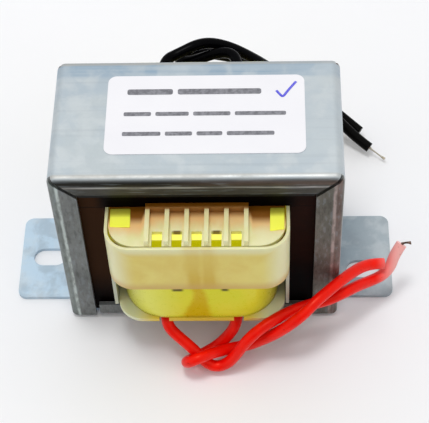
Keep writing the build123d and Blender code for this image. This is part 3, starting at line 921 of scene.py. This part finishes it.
# Leads: the listed points of the solids, with some moved a little to follow the photograph
leads = {
    "redLeft": {
        "node": "red_lead_left", "finish": redInsulation, "slot": "red_insulation",
        "diameter": 2.5, "length": 73.7,
        "route": [
            (-7.8, -19.0, 10.2), (-7.8, -22.4, 10.1), (-7.1, -24.1, 8.4), (-5.0, -25.4, 6.8),
            (-2.6, -27.0, 5.5), (-0.7, -28.4, 4.2), (0.8, -29.5, 3.0), (2.4, -30.0, 2.2),
            (4.1, -29.9, 2.2), (5.7, -29.6, 3.2), (7.1, -29.1, 5.1), (8.6, -28.4, 7.7),
            (10.6, -27.3, 10.1), (13.3, -25.7, 11.5), (16.7, -23.6, 12.1), (20.3, -21.7, 12.1),
            (23.8, -20.3, 11.9), (27.1, -19.5, 12.1), (30.4, -18.1, 12.6), (33.6, -15.5, 11.5),
            (36.7, -13.0, 9.7), (39.5, -11.2, 9.1), (41.3, -9.6, 10.1), (42.2, -7.7, 12.2),
            (43.7, -6.2, 14.0),
        ],
    },
    "redRight": {
        "node": "red_lead_right", "finish": redInsulation, "slot": "red_insulation",
        "diameter": 2.5, "length": 79.1,
        "route": [
            (7.8, -19.0, 10.2), (7.7, -22.2, 10.0), (6.9, -23.5, 7.4), (5.1, -24.2, 4.5),
            (2.9, -25.0, 2.3), (0.6, -26.0, 1.5), (-1.6, -27.2, 1.35), (-3.2, -28.6, 2.1),
            (-3.5, -30.1, 4.0), (-2.5, -31.0, 5.9), (-0.5, -30.6, 6.8), (1.9, -28.9, 5.8),
            (4.5, -27.3, 4.4), (7.0, -26.1, 3.6), (9.8, -25.8, 4.0), (12.9, -25.8, 6.2),
            (15.9, -26.0, 9.1), (18.9, -25.8, 12.2), (21.7, -24.7, 14.5), (24.4, -22.3, 15.9),
            (26.9, -20.0, 16.1), (29.4, -17.5, 15.9), (32.0, -14.7, 15.1), (34.7, -12.0, 13.8),
            (37.4, -10.5, 12.8), (39.7, -10.3, 12.5),
        ],
    },
    "blackLeft": {
        "node": "black_lead_left", "finish": blackInsulation, "slot": "black_insulation",
        "diameter": 2.4, "length": 72.4,
        "route": [
            (-8.0, 19.0, 40.85), (-8.0, 21.2, 40.85), (-7.9, 23.2, 40.9), (-7.1, 24.9, 40.95),
            (-5.4, 25.9, 41.0), (-3.3, 26.8, 41.5), (-1.0, 28.0, 41.8), (1.6, 29.0, 41.4),
            (4.5, 29.5, 40.2), (7.5, 29.6, 38.5), (10.5, 29.8, 36.0), (13.6, 30.7, 32.4),
            (17.2, 32.4, 26.8), (21.2, 34.4, 20.0), (25.4, 35.8, 14.2), (29.4, 35.8, 9.2),
            (32.9, 34.3, 5.8), (36.0, 32.3, 3.5), (39.0, 30.2, 2.4),
        ],
    },
    "blackRight": {
        "node": "black_lead_right", "finish": blackInsulation, "slot": "black_insulation",
        "diameter": 2.4, "length": 83.5,
        "route": [
            (8.0, 19.0, 40.85), (8.0, 21.4, 40.85), (7.9, 23.7, 40.9), (7.2, 25.6, 41.0),
            (5.4, 26.6, 40.9), (3.0, 26.7, 40.3), (0.4, 26.6, 39.2), (-2.1, 26.6, 38.1),
            (-4.2, 27.1, 37.4), (-5.4, 28.9, 36.9), (-4.5, 30.8, 36.4), (-1.9, 31.6, 35.6),
            (1.2, 31.7, 35.0), (4.6, 31.8, 34.0), (8.0, 32.2, 32.7), (11.2, 33.2, 29.8),
            (14.4, 35.0, 25.6), (17.8, 37.1, 21.0), (21.6, 39.2, 15.2), (25.6, 40.4, 10.1),
            (29.6, 39.8, 6.3), (33.4, 37.8, 4.0), (36.9, 35.1, 2.6),
        ],
    },
}
bareEnds = {
    "redLeft": {
        "node": "red_strand", "finish": darkWire, "wires": 7, "wire": 0.26, "bundle": 0.27, "turns": 0.6,
        "route": [(43.7, -6.2, 14.0), (44.5, -5.9, 14.4), (45.75, -6.1, 14.3)],
    },
    "blackLeft": {
        "node": "black_strand", "finish": tinnedWire, "wires": 7, "wire": 0.24, "bundle": 0.25, "turns": 0.8,
        "route": [(39.0, 30.2, 2.4), (40.6, 29.0, 1.8), (42.6, 27.7, 1.1)],
    },
}
fray = {"spread": 0.35, "phase": 3.1}
cutEnds = {"wires": 7, "wire": 0.30, "ring": 0.34, "proud": 0.12, "tip": 0.4, "sides": 10}


def addSpline(curve, route):
    spline = curve.splines.new("NURBS")
    spline.points.add(len(route) - 1)
    for point, place in zip(spline.points, route):
        point.co = (*(value * mm for value in place), 1.0)
    spline.order_u = 3
    spline.use_endpoint_u = True


def newCurve(name, thickness, roundness):
    curve = bpy.data.curves.new(name, "CURVE")
    curve.dimensions = "3D"
    curve.resolution_u = 10
    curve.bevel_depth = thickness * mm / 2
    curve.bevel_resolution = roundness
    curve.use_fill_caps = True
    piece = bpy.data.objects.new(name, curve)
    bpy.context.scene.collection.objects.link(piece)
    return piece


def layLead(name, lead):
    piece = newCurve(name + "Lead", lead["diameter"], roundness=7)
    addSpline(piece.data, lead["route"])
    piece.data.materials.append(lead["finish"])
    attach(piece, "root")
    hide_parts(lead["node"])
    return piece


def sideWays(way):
    side = way.cross(Vector((0.0, 0.0, 1.0))).normalized()
    return side, way.cross(side).normalized()


def twistStrand(name, strand, look):
    # Fine wires, one in the middle and the rest laid round it, which spread unevenly towards the end
    piece = newCurve(name + "Strand", strand["wire"], roundness=3)
    route = [Vector(place) for place in strand["route"]]
    side, lift = sideWays((route[-1] - route[0]).normalized())
    outer = strand["wires"] - 1
    addSpline(piece.data, route)
    for wire in range(outer):
        places = []
        for step, middle in enumerate(route):
            share = step / (len(route) - 1)
            angle = 2 * math.pi * (wire / outer + strand["turns"] * share)
            reach = strand["bundle"] * (1.0 + look["spread"] * share * math.sin(look["phase"] * wire))
            places.append(middle + reach * (math.cos(angle) * side + math.sin(angle) * lift))
        addSpline(piece.data, places)
    piece.data.materials.append(strand["finish"])
    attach(piece, "root")
    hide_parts(strand["node"])
    return piece


def cutEnd(name, lead, look):
    # The wires of a lead that was cut off square
    last, end = (Vector(place) * mm for place in lead["route"][-2:])
    way = (end - last).normalized()
    side, lift = sideWays(way)
    bm = bmesh.new()
    for wire in range(look["wires"]):
        angle = 2 * math.pi * wire / (look["wires"] - 1)
        reach = look["ring"] * mm if wire else 0.0
        place = end + reach * (math.cos(angle) * side + math.sin(angle) * lift)
        turn = Matrix((side, lift, way)).transposed().to_4x4()
        turn.translation = place
        bmesh.ops.create_cone(bm, cap_ends=True, segments=look["sides"], radius1=look["wire"] * mm / 2,
                              radius2=look["wire"] * mm * look["tip"], depth=2 * look["proud"] * mm,
                              matrix=turn)
    piece = makeObject(name + "CutEnd", bm)
    piece.data.materials.append(darkWire)
    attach(piece, "root")
    return piece


for name, lead in leads.items():
    piece = layLead(name, lead)
    if name in bareEnds:
        tip = twistStrand(name, bareEnds[name], fray)
    else:
        tip = cutEnd(name, lead, cutEnds)
print("leads laid")


# Label print: plain bars in three rows, and a tick of blue pen
labelPrint = {
    "lift": 0.005,
    "ink": 0.015,
    "round": 0.3,
    "rows": [
        {"y": 6.9, "tall": 1.5, "start": -14.4, "gap": 1.0, "bars": (9.4, 17.2)},
        {"y": 1.0, "tall": 1.05, "start": -14.9, "gap": 0.9, "bars": (5.6, 6.8, 7.6, 10.4)},
        {"y": -4.2, "tall": 1.05, "start": -15.0, "gap": 0.9, "bars": (7.8, 5.5, 5.2, 9.6)},
    ],
}
penTick = {
    "width": 0.55,
    "ink": 0.02,
    "path": [(16.3, 7.0), (17.2, 5.6), (17.7, 5.3), (18.6, 6.9), (20.4, 9.4)],
}


def printLabel(look):
    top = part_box("rating_label")[1].z + look["lift"] * mm
    bm = bmesh.new()
    for row in look["rows"]:
        reach = row["start"]
        for length in row["bars"]:
            middle = Vector(((reach + length / 2) * mm, row["y"] * mm, top))
            size = Matrix.Diagonal((length * mm, row["tall"] * mm, 1.0, 1.0))
            made = bmesh.ops.create_grid(bm, x_segments=1, y_segments=1, size=0.5,
                                         matrix=Matrix.Translation(middle) @ size)
            bmesh.ops.bevel(bm, geom=made["verts"], offset=look["round"] * row["tall"] * mm, segments=3,
                            profile=0.5, affect="VERTICES", material=-1)
            reach += length + row["gap"]
    bmesh.ops.solidify(bm, geom=bm.faces[:], thickness=-look["ink"] * mm)
    bmesh.ops.recalc_face_normals(bm, faces=bm.faces[:])
    piece = makeObject("labelBars", bm)
    piece.data.materials.append(printInk)
    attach(piece, "root")


def markLabel(look):
    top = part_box("rating_label")[1].z + look["ink"] * mm
    piece = newCurve("penTick", look["width"], roundness=2)
    addSpline(piece.data, [(x, y, 0.0) for x, y in look["path"]])
    mesh = bpy.data.meshes.new_from_object(piece.evaluated_get(bpy.context.evaluated_depsgraph_get()))
    bpy.data.objects.remove(piece)
    bm = bmesh.new()
    bm.from_mesh(mesh)
    bmesh.ops.scale(bm, vec=(1.0, 1.0, 2 * look["ink"] / look["width"]), verts=bm.verts[:])
    bmesh.ops.translate(bm, vec=(0.0, 0.0, top), verts=bm.verts[:])
    tick = makeObject("penTick", bm)
    tick.data.materials.append(penInk)
    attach(tick, "root")


printLabel(labelPrint)
markLabel(penTick)
print("label printed")
